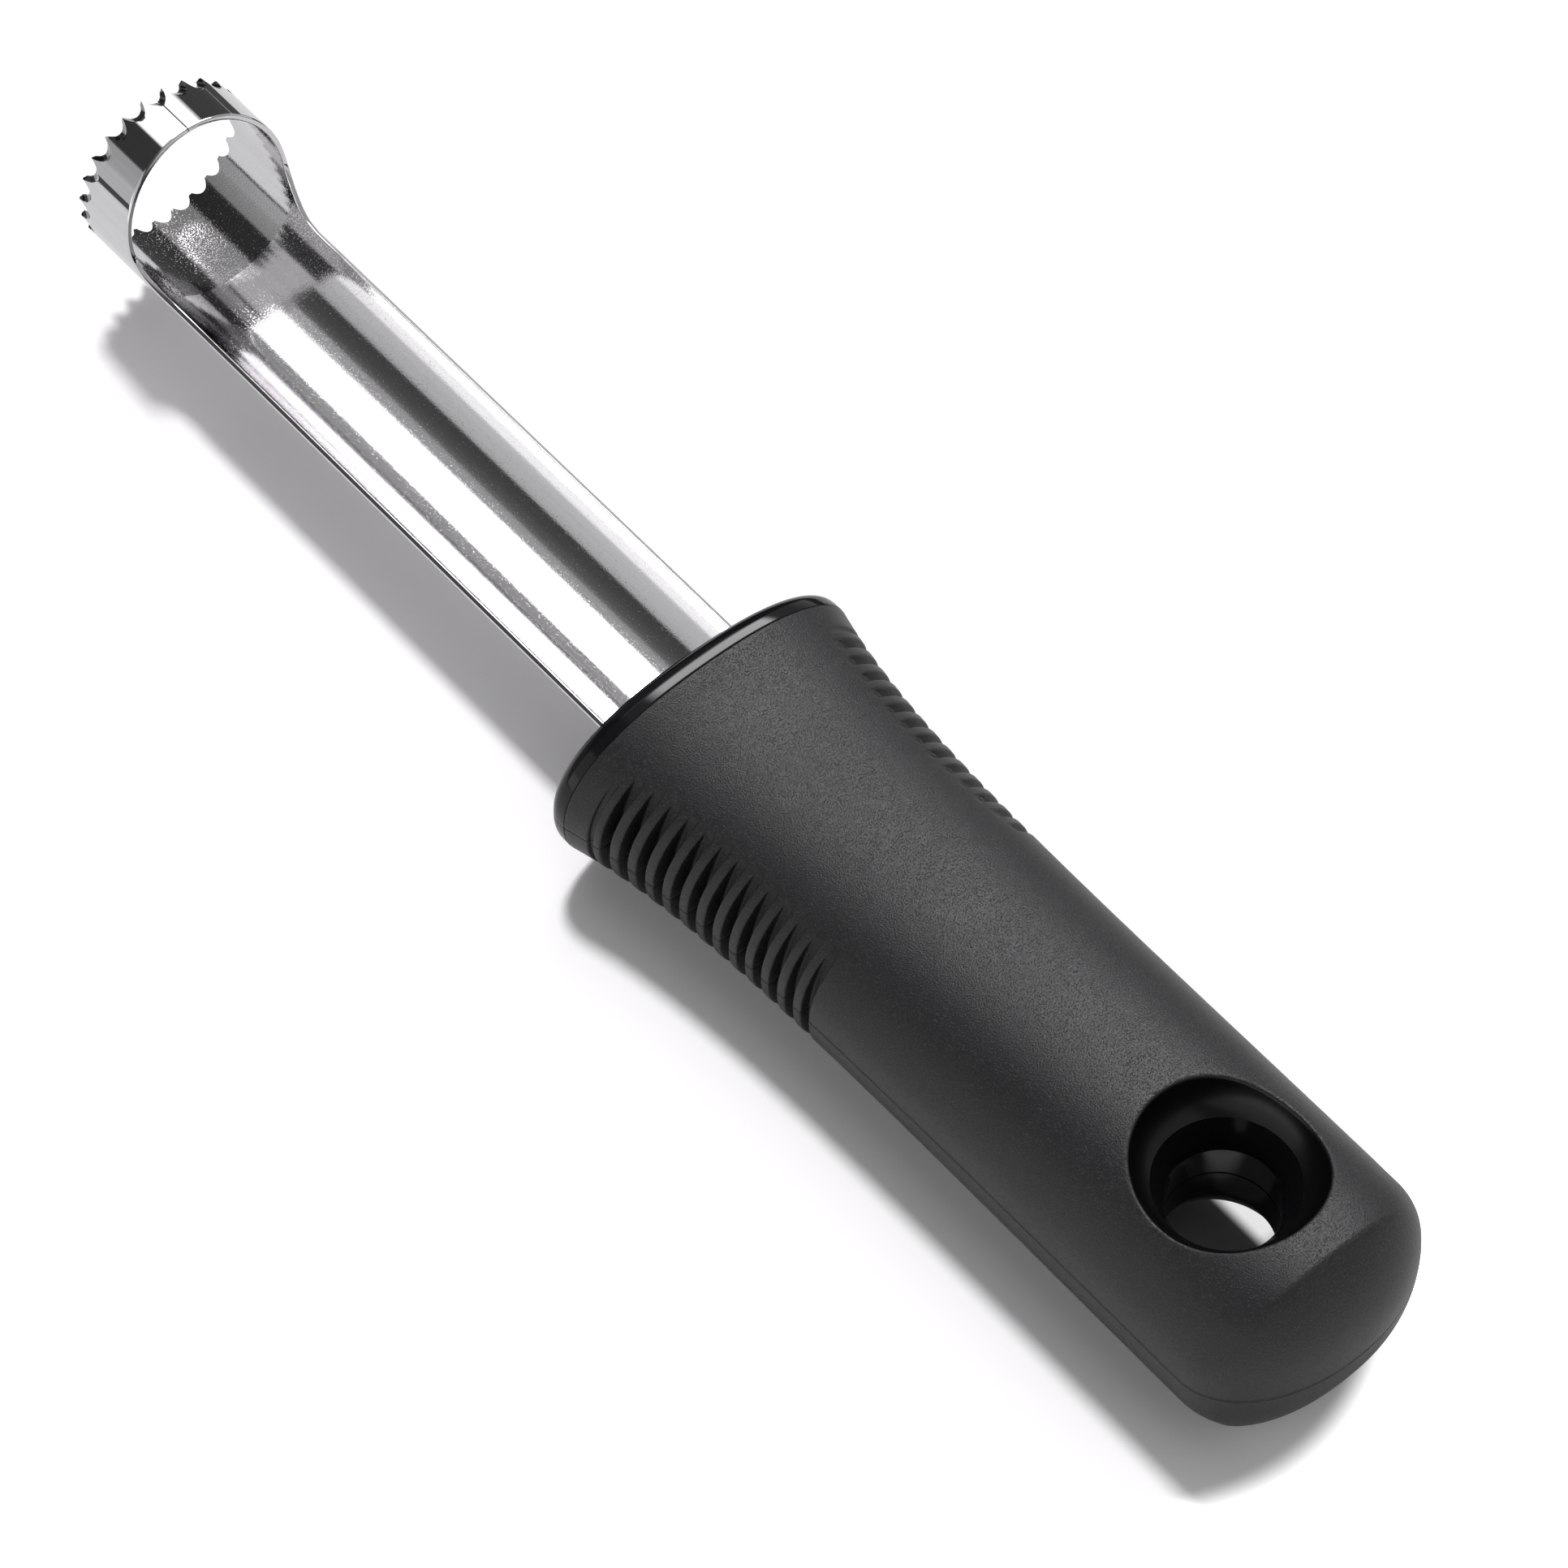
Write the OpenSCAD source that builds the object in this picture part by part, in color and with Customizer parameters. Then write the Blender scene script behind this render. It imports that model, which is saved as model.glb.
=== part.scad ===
// Apple corer: a stainless ring-and-trough blade moulded into a rigid core
// that carries a soft finned grip. X runs from the handle to the teeth, Z is up.

/* [Blade] */
// Outside diameter of the blade tube and of its cutting ring
blade_d = 21; // [18:0.5:23]
// Thickness of the blade's steel
blade_t = 0.65; // [0.5:0.05:0.9]
// Blade that stands out of the handle, from the collar's face to the tooth tips
blade_reach = 88; // [75:1:110]
// Length of the cutting ring along its top
ring_len = 6.4; // [5:0.2:9]
// Lean of the ring's rear rim, in degrees from square to the tube
rim_lean = 14; // [5:1:20]
// Height of the rails above the underside of the tube
trough_h = 5.8; // [4.5:0.1:6.8]
// Radius of the sweep from the ring's rim down into the rails
sweep_r = 7.5; // [5:0.5:9]
// Width of the butt seam along the top of the ring
butt_gap = 0.12; // [0.08:0.02:0.3]
// Height of the blade's axis above the handle's parting plane
blade_rise = 6.9; // [6:0.1:7.4]

/* [Teeth] */
// Number of scallops round the cutting edge
tooth_count = 24; // [18:1:30]
// Radius of a scallop, as a share of the tooth pitch
scallop_radius_share = 0.55; // [0.52:0.01:0.65]
// Depth of a scallop inside the ring, as a share of the tooth pitch
scallop_depth_share = 0.36; // [0.25:0.01:0.45]
// Angle of the hollow grind to the tube, in degrees
grind_angle = 30; // [20:1:40]

/* [Tang] */
// Length of the tang moulded into the handle, behind the collar's face
tang_len = 38; // [30:1:45]
// Diameter of the lock holes in the tang
lock_d = 4; // [3:0.5:5]
// Number of lock holes
lock_count = 2; // [1:1:3]
// Distance between lock holes, and from the tang's end to the first
lock_pitch = 9; // [7:0.5:11]

/* [Collar] */
// Length of the collar along the tool
collar_len = 2.7; // [2.5:0.1:5]
// Radius of the rounded front edge of the collar
collar_round = 1.7; // [0.8:0.1:2.3]

/* [Grip] */
// Length of the grip, from the collar seam to the rear end
grip_len = 95.5; // [85:0.5:115]
// Width of the handle at the collar seam
front_w = 37.9; // [34:0.1:42]
// Height of the handle at the collar seam
front_h = 23; // [21.6:0.1:25]
// Width of the grip behind the flare
grip_w = 29.4; // [27:0.1:32]
// Height of the grip at its waist
waist_h = 20.4; // [19:0.1:22.8]
// Height of the grip round the hanging hole
rear_h = 25.1; // [23.4:0.1:28]
// Distance in which the front flare of the width falls to a third
flare_len = 16; // [12:0.5:22]
// Distance in which the front flare of the height falls to a third
dip_len = 8; // [5:0.5:14]
// Distance from the seam to the start of the rear swell
swell_from = 10; // [6:1:20]
// Length of the rear swell, from the waist's height to the rear height
swell_len = 75; // [60:1:75]
// Length of the rounded corners at the rear end, seen from above
end_round = 9.4; // [6:0.1:11]
// Length of the bevelled nose behind the crease
nose_len = 5.2; // [3.5:0.1:5.8]

/* [Fins] */
// Number of slots between the fins on each side
slot_count = 13; // [8:1:15]
// Distance between slots along the grip
slot_pitch = 2.3; // [2:0.05:2.6]
// Width of a slot
slot_w = 1.15; // [0.8:0.05:1.4]
// Depth of the first slot at the parting plane
slot_depth = 2.5; // [1.4:0.1:2.6]
// Depth of the last slot at the parting plane
slot_depth_last = 1.25; // [0.8:0.05:2.6]
// Distance from the seam to the middle of the first slot
slot_from = 5; // [4.6:0.1:8]
// Distance from the seam to the shallow groove in front of the slots
groove_from = 3.2; // [2.4:0.1:3.6]
// Width of that groove
groove_w = 0.6; // [0.4:0.05:0.9]
// Depth of that groove
groove_depth = 0.45; // [0.2:0.05:0.9]

/* [Hanging hole] */
// Bore of the eyelet
hole_d = 11.7; // [9:0.1:12.5]
// Length of the straight bore
bore_len = 9.2; // [6:0.1:12]
// Distance from the hole's axis to the rear end
hole_from_end = 19.1; // [18.5:0.1:26]
// Diameter of the grip's mouth round the hole
mouth_d = 19.5; // [17.5:0.1:21]
// Radius of the bowl that joins the mouth to the eyelet
mouth_r = 6; // [5.5:0.1:7]
// Diameter of the eyelet's lip, where the bowl meets it
lip_d = 14.8; // [13.5:0.1:15.6]
// Thickness of the eyelet's lip
lip_wall = 1.6; // [1:0.1:2]

/* [Core] */
// Width of the core's stem
stem_w = 22.6; // [21.6:0.1:24]
// Height of the core's stem
stem_h = 12.6; // [11.6:0.1:14]
// Width of the shoulder behind the collar
shoulder_w = 27; // [25:0.2:28]
// Height of the shoulder behind the collar
shoulder_h = 17; // [14:0.2:19]
// Length of the shoulder
shoulder_len = 10; // [6:0.5:14]

/* [Hidden] */
// Overrun of a cut past the face it leaves
over = 1;
// Corner powers: of the handle's section, and of its rear end seen from above
section_power = 2.3;
end_power = 2.05;
// Points round a section, steps along the grip's body, nose and collar edge
around = 72;
body_steps = 26;
end_steps = 7;
nose_steps = 6;
// Size of the closing face at the very end, as a share of the section before it
cap_share = 0.1;
round_steps = 5;
curve_fn = 96;

total_len = blade_reach + collar_len + grip_len;
tip_x = total_len / 2;
face_x = tip_x - blade_reach;
seam_x = face_x - collar_len;
end_x = -tip_x;
hole_x = end_x + hole_from_end;
crease_back = grip_len - nose_len;
corner_back = grip_len - end_round;

// Half width and half height of the handle at a distance behind the seam
function ease(s) = s <= 0 ? 0 : s >= 1 ? 1 : s * s * (3 - 2 * s);
function body_half_w(d) = grip_w / 2 + (front_w - grip_w) / 2 * exp(-d / flare_len);
function body_half_h(d) = waist_h / 2 + (front_h - waist_h) / 2 * exp(-d / dip_len)
    + (rear_h - waist_h) / 2 * ease((d - swell_from) / swell_len);

// Rear end: corners rounded by a power curve, nose rounded by an arc from the crease
function corner_share(d) = d <= corner_back ? 1
    : pow(max(0, 1 - pow((d - corner_back) / end_round, end_power)), 1 / end_power);
nose_half_h = body_half_h(crease_back);
nose_r = (pow(nose_half_h, 2) + pow(nose_len, 2)) / (2 * nose_len);
function nose_h(d) = sqrt(max(0, pow(nose_r, 2) - pow(nose_r - nose_len + d - crease_back, 2)));
function half_w(d) = body_half_w(d) * corner_share(d);
function half_h(d) = d <= crease_back ? body_half_h(d) : nose_h(d);
function slot_depth_at(k) = slot_depth
    + (slot_depth_last - slot_depth) * pow(k / (slot_count - 1), 2);

// Stations behind the seam: body, rounded corners up to the crease, then the nose
body_at = [for (i = [0 : body_steps - 1]) corner_back * i / body_steps];
end_at = [for (i = [0 : end_steps - 1]) corner_back + (end_round - nose_len) * i / end_steps];
nose_at = [for (i = [0 : nose_steps - 1]) crease_back + nose_len * sin(90 * i / nose_steps)];
grip_at = concat(body_at, end_at, nose_at);

// The parting plane stands as high as the handle is deep, so the grip rests on z = 0
part_z = max(half_h(0), half_h(corner_back));
blade_z = part_z + blade_rise;
rail_z = blade_z - blade_d / 2 + trough_h;

// A section of the handle: a power ellipse about the parting plane
function spow(v, p) = sign(v) * pow(abs(v), p);
function section(x, w, h) = [for (k = [0 : around - 1])
    let (t = 360 * k / around)
    [x, w * spow(cos(t), 2 / section_power), part_z + h * spow(sin(t), 2 / section_power)]];

// A solid through sections from front to back, closed by flat ends
module loft(rings) {
    n = len(rings[0]);
    m = len(rings);
    points = [for (r = rings) for (p = r) p];
    walls = [for (i = [0 : m - 2]) for (j = [0 : n - 1])
        let (a = i * n + j, b = i * n + (j + 1) % n)
        each [[a, b, a + n], [b, b + n, a + n]]];
    front = [[for (j = [n - 1 : -1 : 0]) j]];
    back = [[for (j = [0 : n - 1]) (m - 1) * n + j]];
    polyhedron(points, concat(walls, front, back), convexity = 6);
}

// Round stock laid along the tool, from one place on X to another
module bar(r, from_x, to_x) {
    translate([from_x, 0, 0])
        rotate([0, 90, 0])
            cylinder(r = r, h = to_x - from_x, $fn = curve_fn);
}

// A flat outline in X and Z, given depth across the tool
module across(depth) {
    translate([0, depth / 2, 0])
        rotate([90, 0, 0])
            linear_extrude(depth)
                children();
}

// Side view of the blade about its axis: ring, swept rim and trough
module blade_side() {
    top = blade_d / 2 + over;
    low = trough_h - blade_d / 2;
    rim_x = tip_x - ring_len;
    corner_x = rim_x - (blade_d / 2 - low) * tan(rim_lean);
    reach = sweep_r * tan((90 - rim_lean) / 2);
    difference() {
        polygon([[face_x - tang_len, -top], [tip_x + over, -top], [tip_x + over, top],
            [rim_x + over * tan(rim_lean), top],
            [corner_x + reach * sin(rim_lean), low + reach * cos(rim_lean)],
            [corner_x - reach, low + sweep_r], [corner_x - reach, low],
            [face_x - tang_len, low]]);
        translate([corner_x - reach, low + sweep_r])
            circle(sweep_r, $fn = curve_fn);
    }
}

// One scallop, ground from outside the ring towards its axis
module scallop() {
    pitch = PI * blade_d / tooth_count;
    r = pitch * scallop_radius_share;
    length = (blade_d + over) / sin(grind_angle);
    translate([tip_x - pitch * scallop_depth_share, 0, blade_d / 2 - blade_t])
        rotate([0, 90 + grind_angle, 0])
            translate([-r, 0, -length / 2])
                cylinder(r = r, h = length / 2 + pitch, $fn = curve_fn);
}

// Lock holes through the bottom of the tang
module lock_holes() {
    for (k = [1 : lock_count])
        translate([face_x - tang_len + k * lock_pitch, 0, blade_z - blade_d])
            cylinder(d = lock_d, h = blade_d, $fn = curve_fn);
}

// The blade before its teeth, seam and lock holes are cut
module blade_blank() {
    translate([0, 0, blade_z])
        intersection() {
            difference() {
                bar(blade_d / 2, face_x - tang_len, tip_x);
                bar(blade_d / 2 - blade_t, face_x - tang_len - over, tip_x + over);
            }
            across(blade_d + over) blade_side();
        }
}

// Stainless blade: a trough whose tip closes into a toothed ring
module blade() {
    color("silver")
        difference() {
            blade_blank();
            translate([0, 0, blade_z])
                for (k = [0 : tooth_count - 1])
                    rotate([k * 360 / tooth_count, 0, 0])
                        scallop();
            translate([tip_x - 2 * ring_len, -butt_gap / 2, blade_z])
                cube([2 * ring_len + over, butt_gap, blade_d]);
            lock_holes();
        }
}

// Collar: the handle's section at the seam, with a rounded front edge
module collar() {
    w = half_w(0);
    h = half_h(0);
    rings = [for (i = [0 : round_steps])
        let (t = 90 * i / round_steps, inset = collar_round * (1 - sin(t)))
        section(face_x - collar_round * (1 - cos(t)), w - inset, h - inset)];
    loft(concat(rings, [section(seam_x, w, h)]));
}

// Outline of a bar with full-round sides, across the tool
module slot_outline(w, h) {
    square([h, w - h], center = true);
    for (s = [-1, 1])
        translate([0, s * (w - h) / 2])
            circle(d = h, $fn = curve_fn);
}

// A bar with full-round sides on the parting plane, from one place on X to another
module flat_bar(w, h, from_x, to_x) {
    translate([from_x, 0, part_z])
        rotate([0, 90, 0])
            linear_extrude(to_x - from_x)
                slot_outline(w, h);
}

// The part of the core that the grip covers: shoulder, stem and eyelet, rooted in the collar
module core_stem() {
    root_x = seam_x + collar_len / 2;
    flat_bar(shoulder_w, shoulder_h, seam_x - shoulder_len, root_x);
    flat_bar(stem_w, stem_h, hole_x, root_x);
    translate([hole_x, 0, part_z]) {
        cylinder(d = stem_w, h = stem_h, center = true, $fn = curve_fn);
        cylinder(d = lip_d + 2 * lip_wall, h = eyelet_h, center = true, $fn = curve_fn);
    }
}

// The eyelet reaches up to where the bowl has narrowed to the lip
bowl_drop = sqrt(pow(mouth_r, 2) - pow(mouth_r - (mouth_d - lip_d) / 2, 2));
eyelet_h = rear_h - 2 * bowl_drop;

// Bore of the eyelet with a cone up to each lip
module eyelet_bore() {
    cone_h = (eyelet_h - bore_len) / 2;
    slope = (lip_d - hole_d) / 2 / cone_h;
    translate([hole_x, 0, part_z]) {
        cylinder(d = hole_d, h = eyelet_h + over, center = true, $fn = curve_fn);
        for (s = [0, 1])
            mirror([0, 0, s])
                translate([0, 0, bore_len / 2])
                    cylinder(d1 = hole_d, d2 = lip_d + 2 * over * slope, h = cone_h + over,
                        $fn = curve_fn);
    }
}

// Rigid core: collar, stem round the tang, and the eyelet
module handle_core() {
    color("#16161a")
        difference() {
            union() {
                collar();
                core_stem();
            }
            difference() {
                blade_blank();
                lock_holes();
            }
            eyelet_bore();
        }
}

// Bowl-shaped mouth over the eyelet, cut from the parting plane upwards
module mouth() {
    wide = mouth_d / 2;
    rim_h = rear_h / 2;
    rotate_extrude($fn = curve_fn) {
        square([lip_d / 2, rim_h]);
        translate([0, rim_h])
            square([wide, over]);
        intersection() {
            translate([wide - mouth_r, rim_h])
                circle(mouth_r, $fn = curve_fn);
            translate([0, eyelet_h / 2])
                square([wide, bowl_drop]);
        }
    }
}

// One slot between two fins: a ring turned about the handle's axis
module fin_slot(d, w, depth) {
    floor_r = body_half_w(d) - depth;
    translate([seam_x - d, 0, part_z])
        rotate([0, 90, 0])
            difference() {
                cylinder(r = front_w / 2 + over, h = w, center = true, $fn = curve_fn);
                cylinder(r = floor_r, h = w + over, center = true, $fn = curve_fn);
            }
}

// Soft grip moulded round the core
module soft_grip() {
    rings = [for (d = grip_at) section(seam_x - d, half_w(d), half_h(d))];
    last = grip_at[len(grip_at) - 1];
    cap = section(end_x, half_w(last) * cap_share, half_h(last) * cap_share);
    color("#3a3a3c")
        difference() {
            loft(concat(rings, [cap]));
            core_stem();
            translate([hole_x, 0, part_z])
                for (s = [0, 1])
                    mirror([0, 0, s])
                        mouth();
            fin_slot(groove_from, groove_w, groove_depth);
            for (k = [0 : slot_count - 1])
                fin_slot(slot_from + k * slot_pitch, slot_w, slot_depth_at(k));
        }
}

blade();
handle_core();
soft_grip();
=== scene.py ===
"""Looks of the apple corer: polished blade, glossy core and soft finned grip."""

import math

import bmesh
import bpy
import numpy as np
from mathutils import Matrix


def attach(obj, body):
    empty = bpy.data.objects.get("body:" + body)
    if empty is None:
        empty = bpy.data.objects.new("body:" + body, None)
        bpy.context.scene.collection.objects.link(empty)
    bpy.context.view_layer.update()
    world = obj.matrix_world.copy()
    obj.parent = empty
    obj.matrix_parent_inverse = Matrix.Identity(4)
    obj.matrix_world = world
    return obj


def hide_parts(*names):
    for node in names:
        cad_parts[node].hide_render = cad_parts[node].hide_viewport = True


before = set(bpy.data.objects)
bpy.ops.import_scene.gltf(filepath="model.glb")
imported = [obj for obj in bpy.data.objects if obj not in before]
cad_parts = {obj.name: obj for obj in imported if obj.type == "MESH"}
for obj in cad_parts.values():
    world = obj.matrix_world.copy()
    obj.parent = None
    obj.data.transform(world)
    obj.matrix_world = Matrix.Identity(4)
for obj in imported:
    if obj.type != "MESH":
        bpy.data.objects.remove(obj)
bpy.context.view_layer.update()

# Sizes in millimetres, as in the part's source
MM = 0.001
TIP_X = 93.1
FACE_X = 5.1
SEAM_X = 2.4
END_X = -93.1
HOLE_X = -74.0
PART_Z = 12.55
BLADE_Z = 19.45

TUBE_R = 10.5
TUBE_IN = 9.85
RING_LEN = 6.4
RIM_LEAN = math.radians(14)
RAIL_RISE = -4.7
SWEEP_R = 7.5
SEAM_HALF = 0.06
TANG_X = -32.9

TEETH = 24
SCALLOP_R = 1.512
SCALLOP_DEPTH = 0.99
GRIND = math.radians(30)

GRIP_LEN = 95.5
FRONT_W = 37.9
FRONT_H = 23.0
GRIP_W = 29.4
WAIST_H = 20.4
REAR_H = 25.1
FLARE_LEN = 16.0
DIP_LEN = 8.0
SWELL_FROM = 10.0
SWELL_LEN = 75.0
END_ROUND = 9.4
END_POWER = 2.05
NOSE_LEN = 5.2
SECTION_POWER = 2.3

SLOTS = 13
SLOT_PITCH = 2.3
SLOT_W = 1.15
SLOT_DEPTH = 2.5
SLOT_DEPTH_LAST = 1.25
SLOT_FROM = 5.0
GROOVE_FROM = 3.2
GROOVE_W = 0.6
GROOVE_DEPTH = 0.45

MOUTH_R = 6.0
MOUTH_CENTRE_R = 3.75
LIP_R = 7.4
LIP_Z = 7.78
EYELET_R = 9.0
BORE_R = 5.85
BORE_HALF = 4.6

# Finish of the edges
FIN_EDGE = 0.22
FLOOR_FILLET = 0.25
SLOT_DRAFT = 0.04
GRIP_SEAM_ROUND = 0.16
CREASE_SOFT = 0.5
MOUTH_ROUND = 0.5
COLLAR_ROUND = 1.7
COLLAR_BREAK = 0.12
EYELET_GAP = 0.02
OUTER_ROUND = 0.2
INNER_ROUND = 0.1

# Grid of the grip's skin: points around it and the window that each mouth fills
AROUND = 192
WINDOW = AROUND // 8
WINDOW_HALF = 11.0

# Points closer than about this step are one; the shift keeps plain sizes off the steps' borders
WELD_STEP = 0.0016
WELD_SHIFT = 0.000371

# Blade's grid: columns to a tooth, more columns beside its cusps in degrees, rows denser in front
TOOTH_COLUMNS = 12
CUSP_COLUMNS = (-0.7, -0.3, 0.3, 0.7)
ROW_POWER = 1.2

# The butt seam's columns lie nearer than this to the middle plane, and higher than this
SEAM_NEAR = 0.08
SEAM_ABOVE = 9


# Meshes

def sheet(grid, close=False):
    """Points and quads of a grid of points; close joins its last column to its first."""
    rows, cols = grid.shape[:2]
    index = np.arange(rows * cols).reshape(rows, cols)
    if close:
        index = np.concatenate([index, index[:, :1]], axis=1)
    quads = np.stack([index[:-1, :-1], index[:-1, 1:], index[1:, 1:], index[1:, :-1]], axis=-1)
    return grid.reshape(-1, 3), quads


def join(sheets):
    """One list of points and quads from several sheets."""
    points, quads, count = [], [], 0
    for pts, qs in sheets:
        points.append(pts)
        quads.append(qs.reshape(-1, 4) + count)
        count += len(pts)
    return np.concatenate(points), np.concatenate(quads)


def weld(points, quads):
    """Merges points that coincide and drops quads that have no area."""
    key = np.round((points + WELD_SHIFT) / WELD_STEP).astype(np.int64)
    unused, first, inverse = np.unique(key, axis=0, return_index=True, return_inverse=True)
    quads = inverse.reshape(-1)[quads]
    diagonal = (quads[:, 0] == quads[:, 2]) | (quads[:, 1] == quads[:, 3])
    folded = (quads[:, 0] == quads[:, 1]) & (quads[:, 2] == quads[:, 3])
    folded |= (quads[:, 1] == quads[:, 2]) & (quads[:, 3] == quads[:, 0])
    return points[first], quads[~(diagonal | folded)]


def solid(name, sheets, material, sharp=40.0):
    """A closed mesh object from sheets that meet edge to edge, with its faces outward."""
    points, quads = weld(*join(sheets))
    faces = [[v for k, v in enumerate(face) if v != face[k - 1]] for face in quads.tolist()]
    mesh = bpy.data.meshes.new(name)
    mesh.from_pydata((points * MM).tolist(), [], faces)
    bm = bmesh.new()
    bm.from_mesh(mesh)
    bmesh.ops.recalc_face_normals(bm, faces=bm.faces)
    if bm.calc_volume(signed=True) < 0:
        bmesh.ops.reverse_faces(bm, faces=bm.faces)
    bm.to_mesh(mesh)
    bm.free()
    mesh.shade_smooth()
    mesh.set_sharp_from_angle(angle=math.radians(sharp))
    mesh.materials.append(material)
    obj = bpy.data.objects.new(name, mesh)
    bpy.context.scene.collection.objects.link(obj)
    return obj


# Shape of the grip

def ease(s):
    """Smooth step from 0 to 1."""
    s = np.clip(s, 0, 1)
    return s * s * (3 - 2 * s)


def body_half_w(d):
    """Half width of the body, flared towards the collar, before its rear end is rounded."""
    return GRIP_W / 2 + (FRONT_W - GRIP_W) / 2 * np.exp(-d / FLARE_LEN)


def body_half_h(d):
    """Half height of the body: tall at the collar, low at the waist and tall at the rear."""
    dip = (FRONT_H - WAIST_H) / 2 * np.exp(-d / DIP_LEN)
    swell = (REAR_H - WAIST_H) / 2 * ease((d - SWELL_FROM) / SWELL_LEN)
    return WAIST_H / 2 + dip + swell


CREASE = GRIP_LEN - NOSE_LEN
CORNER = GRIP_LEN - END_ROUND
NOSE_HALF_H = float(body_half_h(CREASE))
NOSE_R = (NOSE_HALF_H ** 2 + NOSE_LEN ** 2) / (2 * NOSE_LEN)
CREASE_FADE = 2.0


def half_w(d):
    """Half width of the handle at distance d behind the collar seam."""
    share = np.clip((d - CORNER) / END_ROUND, 0, 1)
    return body_half_w(d) * (1 - share ** END_POWER) ** (1 / END_POWER)


def half_h(d):
    """Half height there: the body and the nose's arc, blended softly at the crease."""
    past = np.clip(NOSE_R - NOSE_LEN + d - CREASE, 0, NOSE_R)
    nose = np.sqrt(NOSE_R ** 2 - past ** 2)
    body = body_half_h(d)
    near = np.clip(CREASE_SOFT - np.abs(body - nose), 0, None)
    soft = near ** 2 / (4 * CREASE_SOFT) * ease((GRIP_LEN - d) / CREASE_FADE)
    return np.minimum(body, nose) - soft


def spow(v, p):
    """Power of a value's size, with the value's own sign."""
    return np.sign(v) * np.abs(v) ** p


def section(d, angle):
    """Side and height offsets of the handle's skin at distance d and section angle."""
    y = half_w(d) * spow(np.cos(angle), 2 / SECTION_POWER)
    z = half_h(d) * spow(np.sin(angle), 2 / SECTION_POWER)
    return y, z


def skin_height(x, y):
    """Height of the handle's skin above its parting plane over a point of the plan."""
    d = SEAM_X - x
    share = np.clip(np.abs(y) / half_w(d), 0, 1)
    return half_h(d) * (1 - share ** SECTION_POWER) ** (1 / SECTION_POWER)


# A shallow slot's edge and fillet take at most these shares of its depth
EDGE_SHARE = 0.45
FILLET_SHARE = 0.35

# Under this depth a slot's rings even out, and each slot's rings reach this far past its wall
SETTLE_DEPTH = 0.35
SLOT_MARGIN = 0.25


def slot_profile():
    """Half of a slot's profile, from its middle outwards: kind and progress of each ring."""
    floor = [("floor", s) for s in (0.0, 0.55)]
    fillet = [("fillet", s) for s in (0.0, 0.35, 0.7, 1.0)]
    wall = [("wall", 0.5)]
    edge = [("edge", s) for s in (0.0, 0.25, 0.5, 0.75, 1.0)]
    return floor + fillet + wall + edge


def slot_ring(kind, s, depth, width):
    """Offset from the slot's middle and drop below the skin, for a slot of that local depth."""
    half = width / 2
    edge = np.minimum(FIN_EDGE, depth * EDGE_SHARE)
    fillet = np.minimum(FLOOR_FILLET, depth * FILLET_SHARE)
    draft = SLOT_DRAFT * depth / SLOT_DEPTH
    if kind == "floor":
        return s * (half - fillet - draft), depth
    if kind == "fillet":
        t = s * math.pi / 2
        return half - draft - fillet * (1 - math.sin(t)), depth - fillet * (1 - math.cos(t))
    low = depth - fillet
    if kind == "wall":
        return half - draft * (1 - s), low + (edge - low) * s
    t = s * math.pi / 2
    return half + edge * (1 - math.cos(t)), edge * (1 - math.sin(t))


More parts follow.
